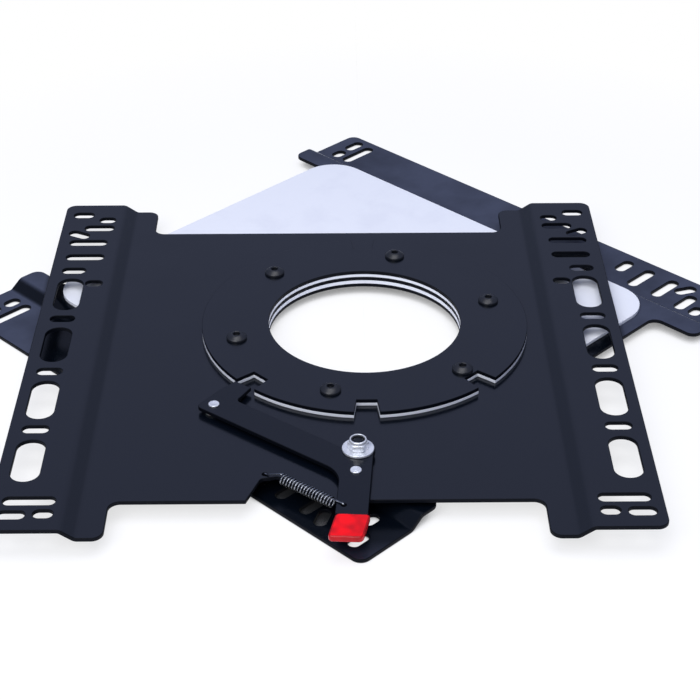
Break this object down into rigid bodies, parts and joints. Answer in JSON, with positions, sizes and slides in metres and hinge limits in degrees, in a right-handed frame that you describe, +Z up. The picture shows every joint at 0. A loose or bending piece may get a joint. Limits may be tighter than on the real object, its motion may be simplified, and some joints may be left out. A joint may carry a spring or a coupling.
{
  "type": "swivel seat base",
  "caption": "Flat steel swivel base for a vehicle seat: two slotted joggled plates turn on a clamped hub over a plastic slip sheet and lock with a sprung latch lever.",
  "frame": {"origin": "on the swivel axis, level with the underside of the lower flanges", "axes": "+Z up along the swivel axis, +X across the lower plate from flange to flange, +Y along its flanges towards the end with the closer row of slots"},
  "size_m": [0.6283, 0.6283, 0.0312],
  "materials": {
    "coated_steel": "satin black powder coat",
    "slip_plastic": "smooth white sheet",
    "black_screw": "black oxide",
    "zinc_steel": "bright zinc plate",
    "nylon": "natural nylon",
    "red_grip": "dip-moulded vinyl",
    "spring_steel": "drawn spring wire"
  },
  "bodies": {
    "base": {"lower_plate": "coated_steel", "slip_sheet": "slip_plastic", "hub_ring": "coated_steel", "slip_ring": "slip_plastic", "clamp_ring": "coated_steel", "clamp_screws": "black_screw", "weld_nuts": "coated_steel"},
    "seat_plate": {"upper_plate": "coated_steel", "pivot_stud": "zinc_steel", "pivot_spacer": "nylon", "pivot_washer": "zinc_steel", "pivot_nut": "zinc_steel", "nut_insert": "nylon", "return_spring": "spring_steel"},
    "latch": {"latch_lever": "coated_steel", "lever_grip": "red_grip", "tooth_rivet": "zinc_steel", "handle_rivet": "zinc_steel", "tooth_pad": "nylon", "handle_pad": "nylon"}
  },
  "joints": [
    {"name": "swivel", "type": "hinge", "parent": "base", "child": "seat_plate", "pos_m": [0, 0, 0.0131], "axis": [0, 0, 1], "range_deg": [-270, 90]},
    {"name": "latch", "type": "hinge", "parent": "seat_plate", "child": "latch", "pos_m": [0.1262, 0.1162, 0.0187], "axis": [0, 0, 1], "range_deg": [-7.4, 2], "deforming": ["return_spring"]}
  ]
}
